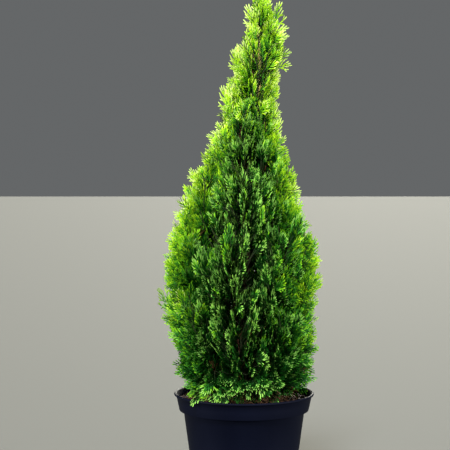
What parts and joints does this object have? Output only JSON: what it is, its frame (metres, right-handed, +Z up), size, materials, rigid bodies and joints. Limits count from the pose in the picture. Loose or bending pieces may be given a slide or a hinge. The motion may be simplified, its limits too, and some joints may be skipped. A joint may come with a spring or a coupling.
{
  "type": "potted thuja",
  "caption": "Slender conical evergreen with upright plumes of flat scale-leaf sprays round one trunk, in a round nursery pot with a deep collar.",
  "frame": {"origin": "centre of the pot's flat underside, on the surface that it stands on", "axes": "+Z up along the plant, -Y towards the front that the picture shows, +X to the right in the picture"},
  "size_m": [0.2926, 0.2934, 0.954],
  "materials": {
    "pot_plastic": "satin",
    "bark_mulch": "rough",
    "bark": "rough",
    "foliage": "satin"
  },
  "bodies": {
    "root": {"crown_plume_1": "foliage", "crown_plume_2": "foliage", "crown_plume_3": "foliage", "high_plume_1": "foliage", "high_plume_2": "foliage", "high_plume_3": "foliage", "leader_tuft": "foliage", "lower_bough_1": "bark", "lower_bough_2": "bark", "lower_bough_3": "bark", "lower_bough_4": "bark", "lower_bough_5": "bark", "lower_bough_6": "bark", "lower_bough_7": "bark", "lower_plume_1": "foliage", "lower_plume_2": "foliage", "lower_plume_3": "foliage", "lower_plume_4": "foliage", "lower_plume_5": "foliage", "lower_plume_6": "foliage", "lower_plume_7": "foliage", "middle_bough_1": "bark", "middle_bough_2": "bark", "middle_bough_3": "bark", "middle_bough_4": "bark", "middle_bough_5": "bark", "middle_bough_6": "bark", "middle_plume_1": "foliage", "middle_plume_2": "foliage", "middle_plume_3": "foliage", "middle_plume_4": "foliage", "middle_plume_5": "foliage", "middle_plume_6": "foliage", "pot": "pot_plastic", "skirt_bough_1": "bark", "skirt_bough_2": "bark", "skirt_bough_3": "bark", "skirt_bough_4": "bark", "skirt_bough_5": "bark", "skirt_bough_6": "bark", "skirt_bough_7": "bark", "skirt_plume_1": "foliage", "skirt_plume_2": "foliage", "skirt_plume_3": "foliage", "skirt_plume_4": "foliage", "skirt_plume_5": "foliage", "skirt_plume_6": "foliage", "skirt_plume_7": "foliage", "soil": "bark_mulch", "trunk": "bark", "upper_plume_1": "foliage", "upper_plume_2": "foliage", "upper_plume_3": "foliage", "upper_plume_4": "foliage", "upper_plume_5": "foliage"}
  },
  "joints": []
}
